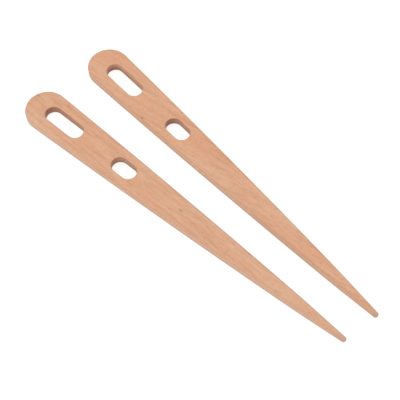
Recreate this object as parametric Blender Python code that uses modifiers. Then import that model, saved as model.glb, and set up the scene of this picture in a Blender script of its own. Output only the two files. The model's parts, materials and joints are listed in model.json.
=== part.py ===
"""A pair of flat wooden weaving needles, lying side by side with their tips together.

Each needle is one piece of beech: a long board with a round head and a blunt tip,
two slot-shaped eyes near the head, and edges rounded by sanding.

Run it with: blender --background --python part.py
Sizes are in metres and +Z is up. The needles lie on the plane z = 0, tips along +X,
and the origin is under the middle of the pair's bounding box.
"""
import math

import bmesh
import bpy
from mathutils import Matrix, Vector

# One needle, along its length and across it.
LENGTH = 0.2000
HEAD_WIDTH = 0.0220
TIP_WIDTH = 0.0025
SIDE_RADIUS = 5.3  # the long sides are very flat arcs, bowed out a little

# One needle, through its thickness.
THICKNESS = 0.0049
TIP_THICKNESS = 0.0027
THINNED_LENGTH = 0.0280  # both faces are sanded down over this stretch before the tip
EDGE_ROUND = 0.0010
RIM_ROUND = 0.0005  # eased edge where an eye meets a face

# The two eyes, from the head end on: wall, long eye, bridge, short eye.
HEAD_WALL = 0.0117
LONG_EYE_LENGTH = 0.0236
EYE_BRIDGE = 0.0220
SHORT_EYE_LENGTH = 0.0142
EYE_WIDTH = 0.0085  # both eyes are cut with the same tool

# How the pair lies.
HEAD_GAP = 0.0185  # clear space between the two heads, across the pair
TIP_GAP = 0.0167  # the same between the two tips
STAGGER = 0.0028  # how far the rear needle is pushed forward along +X

# How finely round shapes are cut into flats.
HEAD_STEPS = 12
SIDE_STEPS = 8
TIP_STEPS = 5
EYE_STEPS = 14
ROUND_STEPS = 3

OVERCUT = 0.0010  # how far a cutter or a blank stands out past the faces it makes
WELD_DISTANCE = 0.000001
SHARP_ANGLE = math.radians(50)  # a steeper edge than this is a real corner

BEECH_COLOUR = (0.70, 0.39, 0.25, 1.0)  # linear, light pinkish brown
BEECH_ROUGHNESS = 0.55

NEEDLE_COLLECTION = "weaving_needles"
CUTTER_COLLECTION = "cutters"


def clear_scene():
    for old in list(bpy.data.objects):
        bpy.data.objects.remove(old)


def new_collection(name):
    collection = bpy.data.collections.new(name)
    bpy.context.scene.collection.children.link(collection)
    return collection


def arc(centre_x, centre_y, radius, start, end, steps):
    """Points from one angle to another round a centre, both ends included."""
    points = []
    for i in range(steps + 1):
        angle = start + (end - start) * i / steps
        points.append((centre_x + radius * math.cos(angle), centre_y + radius * math.sin(angle)))
    return points


def plan_outline():
    """The needle seen from above, with its middle at the origin: the round head, two bowed
    sides that run smoothly into it, and the round tip."""
    head_radius = HEAD_WIDTH / 2
    tip_radius = TIP_WIDTH / 2
    head_x = -LENGTH / 2 + head_radius
    tip_x = LENGTH / 2 - tip_radius
    # The side's arc holds the head's circle and the tip's circle and touches both, so its
    # centre is this far from theirs.
    to_head = SIDE_RADIUS - head_radius
    to_tip = SIDE_RADIUS - tip_radius
    span = tip_x - head_x
    side_x = head_x + (to_head**2 - to_tip**2 + span**2) / (2 * span)
    side_y = -math.sqrt(to_head**2 - (side_x - head_x) ** 2)
    head_angle = math.atan2(-side_y, head_x - side_x)
    tip_angle = math.atan2(-side_y, tip_x - side_x)

    upper = arc(head_x, 0, head_radius, math.pi, head_angle, HEAD_STEPS)
    upper += arc(side_x, side_y, SIDE_RADIUS, head_angle, tip_angle, SIDE_STEPS)[1:]
    upper += arc(tip_x, 0, tip_radius, tip_angle, 0, TIP_STEPS)[1:]
    lower = [(x, -y) for x, y in reversed(upper[1:-1])]
    return upper + lower


def side_outline():
    """The needle seen from its side: flat faces, sanded down evenly towards the tip."""
    head_end = -LENGTH / 2 - OVERCUT
    thinning_start = LENGTH / 2 - THINNED_LENGTH
    tip_end = LENGTH / 2 + OVERCUT
    slope = (THICKNESS - TIP_THICKNESS) / 2 / THINNED_LENGTH
    drop = slope * (tip_end - thinning_start)
    return [
        (head_end, 0),
        (thinning_start, 0),
        (tip_end, drop),
        (tip_end, THICKNESS - drop),
        (thinning_start, THICKNESS),
        (head_end, THICKNESS),
    ]


def eye_outline(eye_length):
    """A slot with two half-round ends, with its middle at the origin."""
    radius = EYE_WIDTH / 2
    reach = eye_length / 2 - radius
    quarter = math.pi / 2
    right = arc(reach, 0, radius, -quarter, quarter, EYE_STEPS)
    left = arc(-reach, 0, radius, quarter, 3 * quarter, EYE_STEPS)
    return right + left


def extruded(name, outline, depth, place, collection):
    """A closed solid from a flat outline, as thick as depth with its middle at place."""
    curve = bpy.data.curves.new(name + "_outline", "CURVE")
    curve.dimensions = "2D"
    curve.fill_mode = "BOTH"
    curve.extrude = depth / 2
    spline = curve.splines.new("POLY")
    spline.points.add(len(outline) - 1)
    for point, (x, y) in zip(spline.points, outline):
        point.co = (x, y, 0, 1)
    spline.use_cyclic_u = True

    drawn = bpy.data.objects.new(name + "_outline", curve)
    drawn.matrix_world = place
    collection.objects.link(drawn)
    depsgraph = bpy.context.evaluated_depsgraph_get()
    mesh = bpy.data.meshes.new_from_object(drawn.evaluated_get(depsgraph))
    mesh.name = name

    bm = bmesh.new()
    bm.from_mesh(mesh)
    bmesh.ops.remove_doubles(bm, verts=bm.verts, dist=WELD_DISTANCE)
    bmesh.ops.recalc_face_normals(bm, faces=bm.faces)
    bm.to_mesh(mesh)
    bm.free()

    solid = bpy.data.objects.new(name, mesh)
    solid.matrix_world = drawn.matrix_world
    collection.objects.link(solid)
    bpy.data.objects.remove(drawn)
    return solid


def make_cutter(name, outline, depth, place, needle, collection):
    """A guide solid that a needle's Boolean modifier uses. It goes where its needle goes."""
    cutter = extruded(name, outline, depth, place, collection)
    cutter.hide_render = True
    cutter.display_type = "WIRE"
    cutter.parent = needle
    return cutter


def add_boolean(needle, name, operation, cutter):
    modifier = needle.modifiers.new(name, "BOOLEAN")
    modifier.operation = operation
    modifier.solver = "EXACT"
    modifier.object = cutter


def add_rounding(needle, name, width):
    modifier = needle.modifiers.new(name, "BEVEL")
    modifier.width = width
    modifier.segments = ROUND_STEPS
    modifier.limit_method = "ANGLE"
    modifier.angle_limit = SHARP_ANGLE


def make_beech():
    beech = bpy.data.materials.new("beech")
    beech.use_nodes = True
    shader = beech.node_tree.nodes["Principled BSDF"]
    shader.inputs["Base Color"].default_value = BEECH_COLOUR
    shader.inputs["Roughness"].default_value = BEECH_ROUGHNESS
    shader.inputs["Metallic"].default_value = 0.0
    return beech


def make_needle(name, location, yaw, beech, needles, cutters):
    """One needle: a sawn blank, faces sanded to the side outline, edges rounded, eyes cut."""
    middle = Matrix.Translation((0, 0, THICKNESS / 2))
    needle = extruded(name, plan_outline(), THICKNESS + 2 * OVERCUT, middle, needles)
    needle.data.transform(needle.matrix_world)
    needle.matrix_world = Matrix.Identity(4)
    needle.data.materials.append(beech)

    upright = Matrix.Rotation(math.pi / 2, 4, "X")
    faces = make_cutter(
        name + "_faces", side_outline(), HEAD_WIDTH + 2 * OVERCUT, upright, needle, cutters
    )
    add_boolean(needle, "sanded_faces", "INTERSECT", faces)
    add_rounding(needle, "rounded_edges", EDGE_ROUND)

    eye_start = -LENGTH / 2 + HEAD_WALL
    for eye, eye_length in (("long_eye", LONG_EYE_LENGTH), ("short_eye", SHORT_EYE_LENGTH)):
        place = Matrix.Translation((eye_start + eye_length / 2, 0, THICKNESS / 2))
        cutter = make_cutter(
            f"{name}_{eye}",
            eye_outline(eye_length),
            THICKNESS + 2 * OVERCUT,
            place,
            needle,
            cutters,
        )
        add_boolean(needle, eye, "DIFFERENCE", cutter)
        eye_start += eye_length + EYE_BRIDGE
    add_rounding(needle, "eased_rims", RIM_ROUND)

    needle.location = location
    needle.rotation_euler = (0, 0, yaw)
    needle.data.shade_smooth()
    needle.data.set_sharp_from_angle(angle=SHARP_ANGLE)
    return needle


def make_pair():
    """The two needles, with their tips turned towards each other so that the stated gaps
    are clear at the heads and at the tips."""
    needles = new_collection(NEEDLE_COLLECTION)
    cutters = new_collection(CUTTER_COLLECTION)
    beech = make_beech()

    head_radius = HEAD_WIDTH / 2
    tip_radius = TIP_WIDTH / 2
    head_offset = HEAD_GAP / 2 + head_radius
    tip_offset = TIP_GAP / 2 + tip_radius
    centre_span = LENGTH - head_radius - tip_radius
    yaw = math.asin((head_offset - tip_offset) / centre_span)
    middle_offset = head_offset - (LENGTH / 2 - head_radius) * math.sin(yaw)
    # A turned needle loses more length at its wide head than at its narrow tip, so the
    # pair's box is not quite centred on the needles' middles.
    box_shift = (head_radius - tip_radius) * (1 - math.cos(yaw)) / 2

    for name, side in (("front_needle", -1), ("rear_needle", 1)):
        location = Vector((box_shift + side * STAGGER / 2, side * middle_offset, 0))
        make_needle(name, location, -side * yaw, beech, needles, cutters)


clear_scene()
make_pair()
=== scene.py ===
# %% [markdown]
# # A pair of flat wooden weaving needles
#
# Two loose needles lie side by side on a white table. Each is one piece of beech: a round
# head, two slot-shaped eyes that carry the yarn, long sides that taper and bow out a little,
# and a blunt tip. There is no hardware on them, so all of their quality is in two things:
# how the edges were sanded, and how the wood looks.
#
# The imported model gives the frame, and we keep its box: the finer needles made here have to
# be as large as it, and no larger.

# %% Load the frame
import json
import math

import bmesh
import bpy
from mathutils import Matrix, Vector, noise


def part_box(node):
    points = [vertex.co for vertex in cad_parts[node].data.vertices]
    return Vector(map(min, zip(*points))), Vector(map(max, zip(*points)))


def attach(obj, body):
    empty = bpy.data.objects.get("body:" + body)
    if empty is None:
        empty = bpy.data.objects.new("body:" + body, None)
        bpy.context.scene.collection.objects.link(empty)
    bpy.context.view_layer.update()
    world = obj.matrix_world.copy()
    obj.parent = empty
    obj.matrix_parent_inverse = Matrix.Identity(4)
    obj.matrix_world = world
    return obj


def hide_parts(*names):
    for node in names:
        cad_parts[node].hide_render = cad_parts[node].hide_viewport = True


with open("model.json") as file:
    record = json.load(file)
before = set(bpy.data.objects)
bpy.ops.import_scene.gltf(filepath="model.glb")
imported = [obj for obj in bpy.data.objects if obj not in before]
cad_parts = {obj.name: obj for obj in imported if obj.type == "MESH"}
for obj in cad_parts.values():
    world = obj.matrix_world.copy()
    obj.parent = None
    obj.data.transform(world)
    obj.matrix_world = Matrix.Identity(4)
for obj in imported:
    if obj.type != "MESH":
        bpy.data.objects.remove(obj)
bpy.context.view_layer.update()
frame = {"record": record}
MM = 0.001

# %% [markdown]
# ## Colours
#
# A colour picked on a screen is an sRGB hex value, but a shader works with linear light.
# One function turns the first into the second, by the curve of the sRGB standard, and every
# colour below goes through it.

# %% Turn a hex colour into linear light
def linear(hex_colour):
    """An sRGB colour such as "DAA889" as linear red, green, blue and an alpha of 1."""
    channels = []
    for start in (0, 2, 4):
        value = int(hex_colour[start:start + 2], 16) / 255
        channels.append(value / 12.92 if value <= 0.04045 else ((value + 0.055) / 1.055) ** 2.4)
    return (*channels, 1.0)


print("light beech in linear light:", [round(c, 3) for c in linear("DAA889")])

# %% [markdown]
# ## Camera
#
# From close by, perspective would add a taper of its own to that of the needles. A long lens
# from further off shows theirs almost as it is. The camera looks down at about 60 degrees,
# from halfway between the front needle's side and the tips' end, and aims at the table just
# in front of the middle of the pair.

# %% Place the camera
CAMERA_AZIMUTH = math.radians(44.235)
CAMERA_ELEVATION = math.radians(60.6)
CAMERA_DISTANCE = 488.8 * MM
CAMERA_LENS = 90.7  # mm, on a sensor 36 mm wide
CAMERA_AIM = Vector((0.305, -2.178, 0.0)) * MM
CAMERA_NEAR = 10 * MM  # nothing closer to the lens than this is drawn

camera_back = Vector((
    math.sin(CAMERA_AZIMUTH) * math.cos(CAMERA_ELEVATION),
    -math.cos(CAMERA_AZIMUTH) * math.cos(CAMERA_ELEVATION),
    math.sin(CAMERA_ELEVATION),
))
camera = bpy.data.objects.new("camera", bpy.data.cameras.new("camera"))
camera.location = CAMERA_AIM + camera_back * CAMERA_DISTANCE
camera.rotation_euler = camera_back.to_track_quat("Z", "Y").to_euler()
camera.data.lens = CAMERA_LENS
camera.data.clip_start = CAMERA_NEAR
bpy.context.scene.collection.objects.link(camera)
bpy.context.scene.camera = camera
print("camera at mm:", [round(c / MM, 1) for c in camera.location])

# %% [markdown]
# ## Light
#
# Small wooden tools are often shown on a light table in a white tent. Light then comes from
# every side, even from below, and hardly any shadow is left to hide the outline. A white sky
# stands for the tent. One large soft box makes the top faces a touch brighter than the sides,
# which is what tells the eye where a face ends and a wall begins.

# %% Light the tent
SKY_STRENGTH = 0.90
SOFT_BOX_SIZE = 900 * MM
SOFT_BOX_PLACE = Vector((-250, -350, 900)) * MM
SOFT_BOX_WATTS = 2.0

world = bpy.data.worlds.new("white_tent")
world.use_nodes = True
world.node_tree.nodes["Background"].inputs["Color"].default_value = linear("FFFFFF")
world.node_tree.nodes["Background"].inputs["Strength"].default_value = SKY_STRENGTH
bpy.context.scene.world = world
bpy.context.scene.view_settings.view_transform = "Standard"

soft_box = bpy.data.objects.new("soft_box", bpy.data.lights.new("soft_box", "AREA"))
soft_box.data.size = SOFT_BOX_SIZE
soft_box.data.energy = SOFT_BOX_WATTS
soft_box.location = SOFT_BOX_PLACE
soft_box.rotation_euler = SOFT_BOX_PLACE.to_track_quat("Z", "Y").to_euler()
bpy.context.scene.collection.objects.link(soft_box)
print("soft box at mm:", [round(c / MM) for c in soft_box.location])

# %% [markdown]
# ## The light table
#
# The table is a sheet of opal acrylic, lit from below. Glow alone would look flat and make
# the needles float, and light from above alone would never make the sheet quite white. So it
# has both: a little less glow than white, and a grey body that the tent and the soft box
# bring up to white, except in the thin line of shadow where a needle touches it.

# %% Lay the table
TABLE_RADIUS = 4000 * MM
TABLE_STEPS = 96
TABLE_DROP = 0.02 * MM  # the needles lie this far above it, so no two faces share a plane
TABLE_GLOW = 0.78
TABLE_BODY = "9C9C9A"
TABLE_ROUGHNESS = 0.9
TABLE_SHINE = 0.1  # far below the usual 0.5, so that the frosted sheet shows no highlight

bm = bmesh.new()
bmesh.ops.create_circle(bm, cap_ends=True, radius=TABLE_RADIUS, segments=TABLE_STEPS)
bmesh.ops.translate(bm, verts=bm.verts, vec=(0, 0, -TABLE_DROP))
table = bpy.data.objects.new("table", bpy.data.meshes.new("table"))
bm.to_mesh(table.data)
bm.free()
bpy.context.scene.collection.objects.link(table)

opal_acrylic = bpy.data.materials.new("opal_acrylic")
opal_acrylic.use_nodes = True
acrylic_shader = opal_acrylic.node_tree.nodes["Principled BSDF"]
acrylic_shader.inputs["Base Color"].default_value = linear(TABLE_BODY)
acrylic_shader.inputs["Roughness"].default_value = TABLE_ROUGHNESS
acrylic_shader.inputs["Specular IOR Level"].default_value = TABLE_SHINE
acrylic_shader.inputs["Emission Color"].default_value = linear("FFFFFF")
acrylic_shader.inputs["Emission Strength"].default_value = TABLE_GLOW
table.data.materials.append(opal_acrylic)
print("table radius in mm:", round(TABLE_RADIUS / MM))

# %% [markdown]
# ## Where each needle lies
#
# The record says where the eyes are: each one has a box in physics.openings. The line
# through the middles of a needle's two boxes is the needle's axis, and its rest mount is at
# the middle of its length. That is enough to lay a fine needle exactly over its CAD solid.

# %% Read each needle's place from the frame
record = frame["record"]


def eye_middle(name):
    """The middle of an eye, seen from above."""
    low, high = next(o["box_m"] for o in record["physics"]["openings"] if o["name"] == name)
    return ((Vector(low) + Vector(high)) / 2).to_2d()


def needle_place(side):
    """The middle of a needle's underside, and the angle that its tip is turned to."""
    mount = next(m for m in record["mounts"] if m["name"] == f"{side}_needle_rest")
    middle = Vector(mount["pos_m"])
    along = eye_middle(f"{side}_short_eye") - eye_middle(f"{side}_long_eye")
    return middle, math.atan2(along.y, along.x)


for side in ("front", "rear"):
    middle, turn = needle_place(side)
    print(side, "middle in mm:", [round(c / MM, 2) for c in middle])
    print(side, "turned in degrees:", round(math.degrees(turn), 2))

# %% [markdown]
# ## The outline, swung with a compass
#
# Seen from above, half a needle is three arcs that run smoothly into each other: the round
# head, one very flat arc for the long side, and the small round tip. A spin of one vertex
# works as a compass does: the point swings round a centre and leaves a line behind it. The
# side's arc holds both of the small circles and touches them, and that is what sets its
# centre. The other half is a mirror of the first.

# %% Draw the outline
NEEDLE_LENGTH = 200.0 * MM
HEAD_RADIUS = 11.0 * MM
TIP_RADIUS = 1.25 * MM
SIDE_RADIUS = 5300.0 * MM
HEAD_STEPS = 40
SIDE_STEPS = 72
TIP_STEPS = 12
WELD = 0.001 * MM


def swing(bm, point, centre, angle, steps):
    """Swings a point round a centre, leaves a line of edges behind it, and returns its end."""
    swung = bmesh.ops.spin(
        bm, geom=[point], cent=(*centre, 0), axis=(0, 0, 1), angle=angle, steps=steps,
        use_merge=False,
    )
    return next(part for part in swung["geom_last"] if isinstance(part, bmesh.types.BMVert))


def draw_outline(bm):
    """The needle's closed outline, tip along +X, with its middle at the origin."""
    head_centre = Vector((-NEEDLE_LENGTH / 2 + HEAD_RADIUS, 0))
    tip_centre = Vector((NEEDLE_LENGTH / 2 - TIP_RADIUS, 0))
    to_head = SIDE_RADIUS - HEAD_RADIUS
    to_tip = SIDE_RADIUS - TIP_RADIUS
    span = tip_centre.x - head_centre.x
    past_head = (to_head**2 - to_tip**2 + span**2) / (2 * span)
    side_centre = head_centre + Vector((past_head, -math.sqrt(to_head**2 - past_head**2)))
    head_angle = math.atan2(-side_centre.y, head_centre.x - side_centre.x)
    tip_angle = math.atan2(-side_centre.y, tip_centre.x - side_centre.x)

    point = bmesh.ops.create_vert(bm, co=(-NEEDLE_LENGTH / 2, 0, 0))["vert"][0]
    point = swing(bm, point, head_centre, head_angle - math.pi, HEAD_STEPS)
    point = swing(bm, point, side_centre, tip_angle - head_angle, SIDE_STEPS)
    point = swing(bm, point, tip_centre, -tip_angle, TIP_STEPS)
    bmesh.ops.mirror(bm, geom=bm.verts[:] + bm.edges[:], axis="Y", merge_dist=WELD)


bm = bmesh.new()
draw_outline(bm)
around = sum(edge.calc_length() for edge in bm.edges)
print("outline:", len(bm.verts), "points,", round(around / MM, 1), "mm around")
bm.free()

# %% [markdown]
# ## The eyes
#
# Both eyes are cut with the same router bit, which drops in and runs straight for a while.
# So an eye is a circle pulled apart: one half moves towards the head and the other towards
# the tip, and the two edges between them stretch into straight sides. The circle is turned
# by half a step first, so that no point of it lies on the line where it parts.

# %% Cut the eyes
BIT_RADIUS = 4.25 * MM
EYE_LENGTHS = {"long_eye": 23.6 * MM, "short_eye": 14.2 * MM}
BIT_STEPS = 56


def cut_eye(bm, middle_x, length):
    """Adds the outline of an eye to the needle's outline."""
    half_step = math.pi / BIT_STEPS
    flats_radius = BIT_RADIUS / math.cos(half_step)  # so that the flats touch the bit's circle
    circle = bmesh.ops.create_circle(bm, radius=flats_radius, segments=BIT_STEPS)["verts"]
    bmesh.ops.rotate(bm, verts=circle, cent=(0, 0, 0), matrix=Matrix.Rotation(half_step, 3, "Z"))
    reach = length / 2 - BIT_RADIUS
    for side in (-1, 1):
        half = [v for v in circle if v.co.x * side > 0]
        bmesh.ops.translate(bm, verts=half, vec=(side * reach, 0, 0))
    bmesh.ops.translate(bm, verts=circle, vec=(middle_x, 0, 0))


def eye_places(side):
    """How far along the needle the middle of each of its eyes is, and how long that eye is."""
    middle, _ = needle_place(side)
    places = []
    for eye, length in EYE_LENGTHS.items():
        places.append((-(eye_middle(f"{side}_{eye}") - middle.to_2d()).length, length))
    return places


for place, length in eye_places("front"):
    ends = (place - length / 2, place + length / 2)
    print("eye from, to in mm:", [round(end / MM, 2) for end in ends])

# %% [markdown]
# ## The blank
#
# The outline and the eyes are filled as one flat sheet with holes in it. Before it gets its
# thickness, an inset runs a narrow band of even quads along every edge. The rounded edges
# will need it: a bevel slides along the band's short edges and keeps its width all round,
# and the rest of the band keeps the flat face flat right up to the round.
#
# The extrusion leaves walls of one tall quad each. Three level cuts split them, for the same
# reason, and the middle cut leaves a line that can stay where it is as the tip gets thin.

# %% Make the blank
THICKNESS = (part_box("front_needle")[1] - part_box("front_needle")[0]).z
EDGE_ROUND = 1.0 * MM
BAND_SPARE = 0.1 * MM  # what is left of the band, and of the wall above the cuts, past the round


def make_blank(side):
    """A board of full thickness, cut to the outline, with both eyes open."""
    bm = bmesh.new()
    draw_outline(bm)
    for place, length in eye_places(side):
        cut_eye(bm, place, length)
    bmesh.ops.triangle_fill(bm, edges=bm.edges, use_beauty=True, normal=(0, 0, 1))
    band = EDGE_ROUND + BAND_SPARE
    bmesh.ops.inset_region(
        bm, faces=bm.faces, thickness=band, use_boundary=True, use_even_offset=True
    )
    raised = bmesh.ops.extrude_face_region(bm, geom=bm.faces[:])["geom"]
    raised = [part for part in raised if isinstance(part, bmesh.types.BMVert)]
    bmesh.ops.translate(bm, verts=raised, vec=(0, 0, THICKNESS))
    for height in (band, THICKNESS / 2, THICKNESS - band):
        everything = bm.verts[:] + bm.edges[:] + bm.faces[:]
        bmesh.ops.bisect_plane(bm, geom=everything, plane_co=(0, 0, height), plane_no=(0, 0, 1))
    bmesh.ops.recalc_face_normals(bm, faces=bm.faces)
    return bm


bm = make_blank("front")
open_edges = [e for e in bm.edges if not e.is_manifold]
print("blank:", len(bm.faces), "faces,", len(open_edges), "open edges")
print("blank's volume in cubic mm:", round(bm.calc_volume() / MM**3))
bm.free()

# %% [markdown]
# ## The thin tip
#
# Both faces are sanded down towards the tip, so that it slips between warp threads. A sander
# doesn't leave a fold where it starts, so the drop grows along a hyperbola: nearly nothing
# at first, and a straight slope soon after. The middle line of the walls stays at its height.

# %% Thin the tip
TIP_THICKNESS = 2.7 * MM
THINNED_LENGTH = 28.0 * MM
THINNING_START = NEEDLE_LENGTH / 2 - THINNED_LENGTH
SANDER_EASE = 6.0 * MM  # how gently the slope starts
FIRST_TOUCH = THINNING_START - 3 * SANDER_EASE  # where the drop grows from nothing


def hyperbola(x):
    """Nearly 0 well before the thinned stretch, and the full slope well inside it."""
    slope = (THICKNESS - TIP_THICKNESS) / 2 / THINNED_LENGTH
    past = x - THINNING_START
    return slope * (past + math.hypot(past, SANDER_EASE)) / 2


def face_drop(x):
    """How far each face is sanded down at a distance x along the needle."""
    return hyperbola(x) - hyperbola(FIRST_TOUCH) if x > FIRST_TOUCH else 0.0


def thin_tip(bm):
    """Moves both faces towards the middle of the thickness by the drop at each place."""
    for v in bm.verts:
        above = v.co.z - THICKNESS / 2
        if abs(above) > WELD:
            v.co.z -= math.copysign(face_drop(v.co.x), above)


print("tip thickness in mm:", round((THICKNESS - 2 * face_drop(NEEDLE_LENGTH / 2)) / MM, 2))

# %% [markdown]
# ## Rounded edges
#
# The outer edges are rounded well, because the needle is held and pushed by hand. The rims
# of the eyes are only eased, so that they don't cut the yarn. A rim is where a face meets a
# wall at a right angle, so we find it by the angle of its edges, and tell the eyes from the
# outside by the distance from the needle's axis line and their place along it.

# %% Round the edges
RIM_ROUND = 0.5 * MM
ROUND_STEPS = 6
RIM_ANGLE = math.radians(60)


def round_edges(bm, side):
    """Rounds the outer edges, and eases the rims of the eyes."""
    places = eye_places(side)

    def on_eye(edge):
        """Whether an edge belongs to the outline of an eye."""
        middle = (edge.verts[0].co + edge.verts[1].co) / 2
        if abs(middle.y) > BIT_RADIUS + WELD:
            return False
        return any(abs(middle.x - place) < length / 2 + WELD for place, length in places)

    rims = [e for e in bm.edges if e.calc_face_angle(0) > RIM_ANGLE]
    for width, edges in (
        (EDGE_ROUND, [e for e in rims if not on_eye(e)]),
        (RIM_ROUND, [e for e in rims if on_eye(e)]),
    ):
        bmesh.ops.bevel(
            bm, geom=edges, offset=width, offset_type="OFFSET", affect="EDGES",
            segments=ROUND_STEPS, profile=0.5, material=-1, loop_slide=True, clamp_overlap=False,
        )


bm = make_blank("front")
thin_tip(bm)
round_edges(bm, "front")
open_edges = [e for e in bm.edges if not e.is_manifold]
print("rounded needle:", len(bm.faces), "faces,", len(open_edges), "open edges")
bm.free()

# %% [markdown]
# ## Signs of hand sanding
#
# The last sanding is done by hand, so a long side is never a perfect arc. Each side of each
# needle gets its own slow waves, 20 to 30 mm long and less than a tenth of a millimetre deep:
# too little to see as a wave, and enough to break the edge's even shine. A sander only takes
# wood off, so every point moves towards the axis and none moves out. The noise depends on
# place alone, and comes out the same on every run.

# %% Sand by hand
WAVE_LENGTH = 26.0 * MM
WAVE_SHARE = 0.008  # the deepest wave, as a share of the half width
LEAST_WAVE = 0.1  # what is sanded off between the waves, as a share of the deepest
WAVE_SEEDS = {"front": 3.0, "rear": 8.0}
SIDES_APART = 2.5  # how far apart in the noise the two sides of a needle are
SANDED_AWAY = 0.03 * MM  # at each end


def sand_by_hand(bm, side):
    """Slow waves along both long sides, and a hair off both ends."""
    shorter = 1 - SANDED_AWAY / (NEEDLE_LENGTH / 2)
    for v in bm.verts:
        along = v.co.x / WAVE_LENGTH
        wave = noise.noise((along, WAVE_SEEDS[side], math.copysign(SIDES_APART, v.co.y)))
        depth = LEAST_WAVE + (1 - LEAST_WAVE) * (1 + wave) / 2  # wave runs from -1 to 1
        v.co.y *= 1 - WAVE_SHARE * depth
        v.co.x *= shorter


print("deepest possible wave in mm:", round(WAVE_SHARE * HEAD_RADIUS / MM, 3))

# %% [markdown]
# ## Where the wood gets painted shade, and where its grain ends
#
# The finish will need to know two things that only the shape can tell, so they are written
# on each vertex as attributes of the mesh. The first is painted shade: most on the lower half
# of a wall, where the table's shade falls, some on the upper round, where it draws a dark
# outline, and none on the faces. The second is how squarely the surface cuts across the
# fibres, which is what makes end grain dark. The last millimetres of the tip count as half end
# grain, because the taper leaves short cut fibres all round it.

# %% Mark the surface
WALL_TILT = math.radians(30)  # a surface tilted this far from the face can take the full painted shade
PAINTED_SHADE_FROM = 0.75  # of the thickness: no part of a wall above this height gets painted shade
PAINTED_SHADE_FULLY = 0.40  # of the thickness: all of it below this height gets the full painted shade
UPPER_ROUND_SHARE = 0.5  # how much painted shade the upper round gets at its middle
RAW_TIP = 5.0 * MM
RAW_TIP_SHARE = 0.5  # how much of end grain the tip's very end counts as


def mark_surface(bm):
    """Writes the painted shade and the end grain, both from 0 to 1, on every vertex."""
    bm.normal_update()
    painted_shade = bm.verts.layers.float.new("painted_shade")
    end_grain = bm.verts.layers.float.new("end_grain")
    for v in bm.verts:
        tilt = math.acos(min(abs(v.normal.z), 1.0))
        # Painted shade: the lower half of a wall, where the table's shade falls, and the upper
        # round, where it draws a dark outline.
        below = (PAINTED_SHADE_FROM - v.co.z / THICKNESS) / (PAINTED_SHADE_FROM - PAINTED_SHADE_FULLY)
        wall_shade = min(tilt / WALL_TILT, 1.0) * min(max(below, 0.0), 1.0)
        round_shade = UPPER_ROUND_SHARE * math.sin(2 * tilt) if v.normal.z > 0 else 0.0
        v[painted_shade] = max(wall_shade, round_shade)
        near_tip = max(v.co.x - (NEEDLE_LENGTH / 2 - RAW_TIP), 0.0) / RAW_TIP
        v[end_grain] = max(v.normal.x ** 2, RAW_TIP_SHARE * near_tip)


bm = make_blank("front")
thin_tip(bm)
round_edges(bm, "front")
mark_surface(bm)
end_grain = bm.verts.layers.float["end_grain"]
mostly = sum(v[end_grain] > 0.5 for v in bm.verts)
print("points that are mostly end grain:", mostly, "of", len(bm.verts))
bm.free()

# %% [markdown]
# ## The walls of the eyes
#
# These walls are a surface of their own: they come straight from the router and nobody sands
# them, so they get the second material slot. We find them by place and by their upright
# faces, after the rims were eased, because the rims are sanded with the faces.

# %% Mark the eye walls
UPRIGHT = 0.75  # a face whose normal rises less than this counts as a wall
SANDED_SLOT = 0
ROUTED_SLOT = 1


def mark_eye_walls(bm, side):
    """Gives the routed faces the second material slot."""
    places = eye_places(side)
    for face in bm.faces:
        middle = face.calc_center_median()
        in_eye = any(
            abs(middle.x - place) < length / 2 + RIM_ROUND for place, length in places
        )
        if in_eye and abs(middle.y) < BIT_RADIUS + RIM_ROUND and abs(face.normal.z) < UPRIGHT:
            face.material_index = ROUTED_SLOT


bm = make_blank("front")
thin_tip(bm)
round_edges(bm, "front")
mark_eye_walls(bm, "front")
routed = [face for face in bm.faces if face.material_index == ROUTED_SLOT]
routed_area = sum(face.calc_area() for face in routed)
print("routed walls:", len(routed), "faces,", round(routed_area / MM**2), "square mm")
bm.free()

# %% [markdown]
# ## Laying the needles down
#
# All the steps now run once for each needle. The finished mesh is turned and moved to its
# place, so that its object can sit at the origin. It rides on its own body, and stands for
# the CAD needle, which is hidden but kept.

# %% Make both needles
def make_needle(side):
    """One finished needle, without its materials, on its own body."""
    bm = make_blank(side)
    thin_tip(bm)
    round_edges(bm, side)
    sand_by_hand(bm, side)
    mark_surface(bm)
    mark_eye_walls(bm, side)
    middle, turn = needle_place(side)
    lay_down = Matrix.Translation(middle) @ Matrix.Rotation(turn, 4, "Z")
    bmesh.ops.transform(bm, matrix=lay_down, verts=bm.verts)
    mesh = bpy.data.meshes.new(f"{side}_weaving_needle")
    bm.to_mesh(mesh)
    bm.free()
    mesh.shade_smooth()
    needle = bpy.data.objects.new(mesh.name, mesh)
    bpy.context.scene.collection.objects.link(needle)
    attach(needle, f"{side}_needle")
    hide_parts(f"{side}_needle")
    return needle


needles = {side: make_needle(side) for side in ("front", "rear")}
for needle in needles.values():
    triangles = sum(len(polygon.vertices) - 2 for polygon in needle.data.polygons)
    print(needle.name, "has", triangles, "triangles")

# %% [markdown]
# ## Beech
#
# Steamed beech is a pale pinkish brown. What the eye reads as beech and not as plastic is
# made of four things, from large to small: a slow drift of tone along the board, soft growth
# bands a few millimetres apart that follow the grain, thousands of short dark ray flecks,
# and fine fibre lines. A picture of wood wrapped round the needle would smear on its edges.
# Solid patterns don't: they run through the wood, so they pass from a face over the rounded
# edge and down the wall as real grain does.
#
# All of it is made of nodes, and one helper adds any of them.

# %% A helper that adds one node
COLOUR_MIX = {"data_type": "RGBA"}
COLOUR_MULTIPLY = {"data_type": "RGBA", "blend_type": "MULTIPLY"}
COLOUR_A = 6  # a Mix node has sockets for every data type, and these are its two colours
COLOUR_B = 7
COLOUR_OUT = 2


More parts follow.
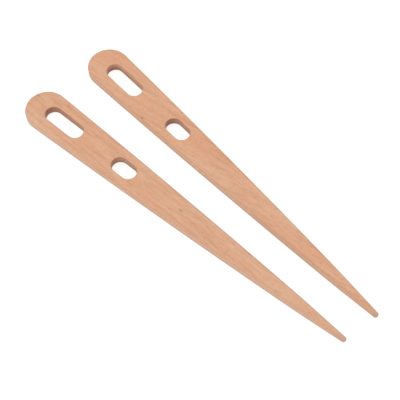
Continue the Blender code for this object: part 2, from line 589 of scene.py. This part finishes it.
def add_node(material, kind, settings=None, inputs=None, stops=()):
    """Adds a node. An input takes a plain value, or the output of another node as a link, and
    a colour ramp takes its stops, each with its position and its colour."""
    node = material.node_tree.nodes.new("ShaderNode" + kind)
    for name, value in (settings or {}).items():
        setattr(node, name, value)
    for name, value in (inputs or {}).items():
        if isinstance(value, bpy.types.NodeSocket):
            material.node_tree.links.new(value, node.inputs[name])
        else:
            node.inputs[name].default_value = value
    if stops:
        ramp = node.color_ramp.elements
        while len(ramp) < len(stops):
            ramp.new(1.0)
        for step, (position, hex_colour) in zip(ramp, stops):
            step.position = position
            step.color = linear(hex_colour)
    return node


print("kinds of mix:", COLOUR_MIX, "and", COLOUR_MULTIPLY)

# %% [markdown]
# ### Two boards
#
# The needles were cut from different boards. Each takes its pattern from another place of
# the same endless noise, and the rear one was sawn 11 degrees off the grain. The sizes of
# the patterns are those of beech, apart from the finest ones, which are drawn coarser.

# %% Choose the boards and the sizes of the grain
BOARDS = {
    "front": {
        "from": (1.63, 0.12, 0.03),  # its place in the noise, in metres
        "slant": math.radians(-1.0),
        "tone": "E2B99A",
        # the hue of the painted shade on the lower walls and the upper round
        "painted_shade": "AD9888",
        "flecks": 0.85,  # how strongly its flecks and spots show
    },
    "rear": {
        "from": (2.45, 0.55, 0.21),
        "slant": math.radians(11.0),
        "tone": "E3B797",
        # the rear needle's painted shade is a darker hue than the front's
        "painted_shade": "A08879",
        "flecks": 1.0,
    },
}
GRAIN_SIZES = {
    # one unit of each pattern in mm: along the grain, across it, and into the face
    "drift": (80.0, 14.0, 14.0),
    "bands": (24.0, 1.9, 3.5),
    "mottle": (3.2, 1.5, 2.0),
    "fibres": (5.0, 0.35, 0.35),  # real fibres are 0.02 mm wide, drawn as bundles
    "flecks": (3.0, 0.55, 1.0),  # real ones are 0.2 mm wide, drawn wider to show
    "fine_flecks": (1.7, 0.34, 0.6),
    "spots": (16.0, 5.0, 5.0),
}
for side, board in BOARDS.items():
    print(side, "board: tone", board["tone"], "slant", round(math.degrees(board["slant"]), 1))

# %% [markdown]
# ### Along the grain
#
# A Mapping node of the Texture kind does the whole fitting. It takes a point of the needle
# back by the needle's place and turn, so the pattern lies along the needle's own grain, and
# divides it by real sizes, so that one unit of the pattern is one band, fleck or fibre.

# %% Lay the patterns along the grain
def lay_on_board(material, side):
    """Adds a Mapping node for each pattern, and returns what they give, by name."""
    middle, turn = needle_place(side)
    angle = turn + BOARDS[side]["slant"]
    on_board = Matrix.Rotation(angle, 3, "Z") @ Vector(BOARDS[side]["from"])
    place = add_node(material, "TexCoord").outputs["Object"]
    vectors = {}
    for name, size in GRAIN_SIZES.items():
        fitted = {
            "Vector": place,
            "Location": middle - on_board,
            "Rotation": (0, 0, angle),
            "Scale": Vector(size) * MM,
        }
        mapping = add_node(material, "Mapping", {"vector_type": "TEXTURE", "label": name}, fitted)
        vectors[name] = mapping.outputs["Vector"]
    return vectors


for name, (along, across, _) in GRAIN_SIZES.items():
    print(f"{name}: {along / across:.1f} times as long as wide")

# %% [markdown]
# ### Soft layers
#
# Four layers of noise give the wood its tone, each with a ramp from its dark places to its
# light ones. The layers multiply, because grain doesn't bring other colours: it is a bit
# more or less of the wood's own. The ramps are kept pale, since fine wood is even.

# %% Layer the tones
SOFT_LAYERS = {
    # the noise's settings, and its ramp
    "drift": ({"Detail": 2.0}, ((0.30, "FAEAE0"), (0.50, "FDF7F3"), (0.70, "FFFFFF"))),
    "bands": (
        {"Detail": 2.5, "Roughness": 0.55, "Distortion": 0.35},
        ((0.30, "F3E9E3"), (0.48, "FCF8F5"), (0.68, "FFFFFF")),
    ),
    "mottle": ({"Detail": 1.5}, ((0.34, "FFF4EF"), (0.50, "FBF8F6"), (0.66, "F7F5EE"))),
    "fibres": (
        {"Detail": 3.0, "Roughness": 0.6, "Distortion": 0.2},
        ((0.32, "F1EAE6"), (0.58, "FFFFFF")),
    ),
}


def layer_tones(material, vectors, colour):
    """Multiplies a colour by every soft layer. Returns it, and each layer's noise by name."""
    noises = {}
    for name, (settings, stops) in SOFT_LAYERS.items():
        layer = add_node(
            material, "TexNoise", None, {"Vector": vectors[name], "Scale": 1.0, **settings}
        )
        noises[name] = layer.outputs[0]
        tone = add_node(material, "ValToRGB", None, {"Fac": layer.outputs[0]}, stops)
        colour = add_node(
            material, "Mix", COLOUR_MULTIPLY,
            {"Factor": 1.0, COLOUR_A: colour, COLOUR_B: tone.outputs["Color"]},
        ).outputs[COLOUR_OUT]
    return colour, noises


for name, (_, stops) in SOFT_LAYERS.items():
    darkest = min(linear(hex_colour)[1] for _, hex_colour in stops)
    print(f"{name}: {100 * (1 - darkest):.0f} percent of the green light lost at most")

# %% [markdown]
# ### Flecks and spots
#
# Noise alone has no marks with an edge. A Voronoi texture has: it scatters one point in each
# cell of the wood, and the distance to that point makes the mark. With the Manhattan
# distance a mark has two sharp ends, and the long narrow cells pull it into the thin spindle
# that a wood ray is. Each cell also has a colour of its own, drawn by chance. We use its
# red as a lot, to leave some cells empty and some marks faint.

# %% Scatter the dark marks
DARK_MARKS = {
    # share of the cells that hold one, its core and its outside in its cell, strength, hue
    "flecks": (0.50, 0.24, 0.46, 0.55, "B27758"),
    "fine_flecks": (0.55, 0.22, 0.46, 0.50, "B27758"),
    "spots": (0.60, 0.05, 0.15, 0.65, "96603F"),
}
FAINT_SHARE = 0.25  # of all cells hold a mark that isn't at full strength


def scatter_marks(material, vectors, colour, all_strength):
    """Mixes the dark marks into a colour. Returns it, and where each kind is, by name."""
    masks = {}
    for name, (share, core, outside, strength, hue) in DARK_MARKS.items():
        cells = add_node(
            material, "TexVoronoi", {"distance": "MANHATTAN"},
            {"Vector": vectors[name], "Scale": 1.0},
        )
        lot = add_node(material, "SeparateColor", None, {"Color": cells.outputs["Color"]})
        is_there = add_node(
            material, "MapRange", None,
            {
                "Value": lot.outputs["Red"],
                "From Min": 1 - share,
                "From Max": 1 - share + FAINT_SHARE,
            },
        )
        shape = add_node(
            material, "MapRange", {"interpolation_type": "SMOOTHSTEP"},
            {
                "Value": cells.outputs["Distance"],
                "From Min": core,
                "From Max": outside,
                "To Min": 1.0,
                "To Max": 0.0,
            },
        )
        masks[name] = add_node(
            material, "Math", {"operation": "MULTIPLY"},
            {0: is_there.outputs["Result"], 1: shape.outputs["Result"]},
        ).outputs[0]
        amount = add_node(
            material, "Math", {"operation": "MULTIPLY"},
            {0: masks[name], 1: strength * all_strength},
        )
        colour = add_node(
            material, "Mix", COLOUR_MIX,
            {"Factor": amount.outputs[0], COLOUR_A: colour, COLOUR_B: linear(hue)},
        ).outputs[COLOUR_OUT]
    return colour, masks


for name, (share, _, outside, *_) in DARK_MARKS.items():
    along, across, _ = GRAIN_SIZES[name]
    cut_by_face = share * 2 * outside / (along * across)
    print(f"{name}: about {100 * cut_by_face:.1f} in a square centimetre of a face")

# %% [markdown]
# ### The grain as a whole
#
# Both finishes below are of the same wood, so both start from here.

# %% Put the grain together
def beech_grain(material, side):
    """Returns the wood's colour, where its flecks are, and its fibre noise."""
    board = BOARDS[side]
    vectors = lay_on_board(material, side)
    colour, noises = layer_tones(material, vectors, linear(board["tone"]))
    colour, masks = scatter_marks(material, vectors, colour, board["flecks"])
    return colour, masks["flecks"], noises["fibres"]


print("patterns in the grain:", ", ".join(GRAIN_SIZES))

# %% [markdown]
# ### Sanded beech
#
# Faces and edges are sanded with fine paper and left without varnish. The surface is matt
# to satin: fibres scatter light, but their tops were rubbed flat and shine a little. A painted
# shade makes the lower walls and the upper round greyer and darker, and end grain drinks light
# between its open pores, so the round of the head and the point of the tip are darker. Wood has
# an IOR of about 1.5 and no metal in it. The fibres stand a few hundredths of a millimetre
# proud, and a fleck is a shallow dent.

# %% Sanded beech
WOOD_IOR = 1.5
PAINTED_SHADE_MOST = 0.60  # the share of the painted shade's greyer hue where the painted shade is full
END_GRAIN_MOST = 0.75  # the same for the hue of end grain
END_GRAIN_HUE = "AD9486"
FIBRE_VALLEY = 0.3  # the fibre noise in the valleys between the fibres
FIBRE_TOP = 0.7  # and on their tops
VALLEY_ROUGHNESS = 0.62
TOP_ROUGHNESS = 0.50
FIBRE_HEIGHT = 0.03 * MM
FIBRE_BUMP = 0.35


def sanded_beech(side):
    """The finish of the faces and the outer edges."""
    material = bpy.data.materials.new(f"sanded_beech_{side}")
    material.use_nodes = True
    shader = material.node_tree.nodes["Principled BSDF"]
    colour, fleck, fibre = beech_grain(material, side)
    # Mixes in the painted shade of the lower walls and the upper round, then the darker end
    # grain.
    for attribute, most, hue in (
        ("painted_shade", PAINTED_SHADE_MOST, BOARDS[side]["painted_shade"]),
        ("end_grain", END_GRAIN_MOST, END_GRAIN_HUE),
    ):
        amount = add_node(material, "Attribute", {"attribute_name": attribute})
        share = add_node(
            material, "Math", {"operation": "MULTIPLY"}, {0: amount.outputs["Fac"], 1: most}
        )
        colour = add_node(
            material, "Mix", COLOUR_MIX,
            {"Factor": share.outputs[0], COLOUR_A: colour, COLOUR_B: linear(hue)},
        ).outputs[COLOUR_OUT]
    roughness = add_node(
        material, "MapRange", None,
        {
            "Value": fibre,
            "From Min": FIBRE_VALLEY,
            "From Max": FIBRE_TOP,
            "To Min": VALLEY_ROUGHNESS,
            "To Max": TOP_ROUGHNESS,
        },
    )
    height = add_node(material, "Math", {"operation": "SUBTRACT"}, {0: fibre, 1: fleck})
    bump = add_node(
        material, "Bump", None,
        {"Strength": FIBRE_BUMP, "Distance": FIBRE_HEIGHT, "Height": height.outputs[0]},
    )
    links = material.node_tree.links
    links.new(colour, shader.inputs["Base Color"])
    links.new(roughness.outputs["Result"], shader.inputs["Roughness"])
    links.new(bump.outputs["Normal"], shader.inputs["Normal"])
    shader.inputs["IOR"].default_value = WOOD_IOR
    return material


for side, needle in needles.items():
    needle.data.materials.append(sanded_beech(side))
    finish = needle.data.materials[SANDED_SLOT]
    print(finish.name, "has", len(finish.node_tree.nodes), "nodes")

# %% [markdown]
# ### Routed beech
#
# Inside an eye the bit has rubbed the fibres and heated them. That hardly shows along the
# slot, but at its two ends, where the bit cut across the fibres, the wood is darker and
# redder. The edge of the bit leaves fine level ridges, about three to a millimetre, drawn
# here at about one to a millimetre so that they show. Low in the eye the wall gets painted
# shade, darker and greyer, for the light that falls off deep in the slot. The attribute of
# painted shade on the outer walls says how low a place is.
#
# This finish comes second, because the marks on the eye walls ask for the second slot.

# %% Routed beech
RIDGE_SIZE = (30.0, 30.0, 0.85)  # mm, one unit of the ridges along, across and up the wall
RIDGE_NOISE = {"Scale": 1.0, "Detail": 2.0, "Roughness": 0.6}
RIDGE_STOPS = ((0.36, "D8C8C0"), (0.60, "FFFFFF"))
RIDGE_HEIGHT = 0.06 * MM
RIDGE_BUMP = 0.5
HEATED_SIDE = "FFFDFB"
SCORCHED_END = "E2C7BE"
# painted shade: a darker, greyer tone low in an eye, where less light reaches
DEEP_SLOT_SHADE = "D4E0E9"
ROUTED_ROUGHNESS = 0.6


def routed_beech(side):
    """The finish of the walls inside the eyes."""
    material = bpy.data.materials.new(f"routed_beech_{side}")
    material.use_nodes = True
    shader = material.node_tree.nodes["Principled BSDF"]
    colour, _, _ = beech_grain(material, side)
    place = add_node(material, "TexCoord").outputs["Object"]
    level = add_node(
        material, "Mapping", {"vector_type": "TEXTURE"},
        {"Vector": place, "Scale": Vector(RIDGE_SIZE) * MM},
    )
    ridges = add_node(
        material, "TexNoise", None, {"Vector": level.outputs["Vector"], **RIDGE_NOISE}
    )
    ridge_tone = add_node(material, "ValToRGB", None, {"Fac": ridges.outputs[0]}, RIDGE_STOPS)
    end_grain = add_node(material, "Attribute", {"attribute_name": "end_grain"})
    scorch = add_node(
        material, "Mix", COLOUR_MIX,
        {
            "Factor": end_grain.outputs["Fac"],
            COLOUR_A: linear(HEATED_SIDE),
            COLOUR_B: linear(SCORCHED_END),
        },
    )
    # Painted shade: the wall darker and greyer towards the bottom of the eye, by the same
    # attribute as on the outer walls.
    low = add_node(material, "Attribute", {"attribute_name": "painted_shade"})
    deep_slot_shade = add_node(
        material, "Mix", COLOUR_MIX,
        {
            "Factor": low.outputs["Fac"],
            COLOUR_A: linear("FFFFFF"),
            COLOUR_B: linear(DEEP_SLOT_SHADE),
        },
    )
    for layer in (
        scorch.outputs[COLOUR_OUT], deep_slot_shade.outputs[COLOUR_OUT], ridge_tone.outputs["Color"]
    ):
        colour = add_node(
            material, "Mix", COLOUR_MULTIPLY, {"Factor": 1.0, COLOUR_A: colour, COLOUR_B: layer}
        ).outputs[COLOUR_OUT]
    bump = add_node(
        material, "Bump", None,
        {"Strength": RIDGE_BUMP, "Distance": RIDGE_HEIGHT, "Height": ridges.outputs[0]},
    )
    links = material.node_tree.links
    links.new(colour, shader.inputs["Base Color"])
    links.new(bump.outputs["Normal"], shader.inputs["Normal"])
    shader.inputs["Roughness"].default_value = ROUTED_ROUGHNESS
    shader.inputs["IOR"].default_value = WOOD_IOR
    return material


for side, needle in needles.items():
    needle.data.materials.append(routed_beech(side))
    finish = needle.data.materials[ROUTED_SLOT]
    print(finish.name, "has", len(finish.node_tree.nodes), "nodes")
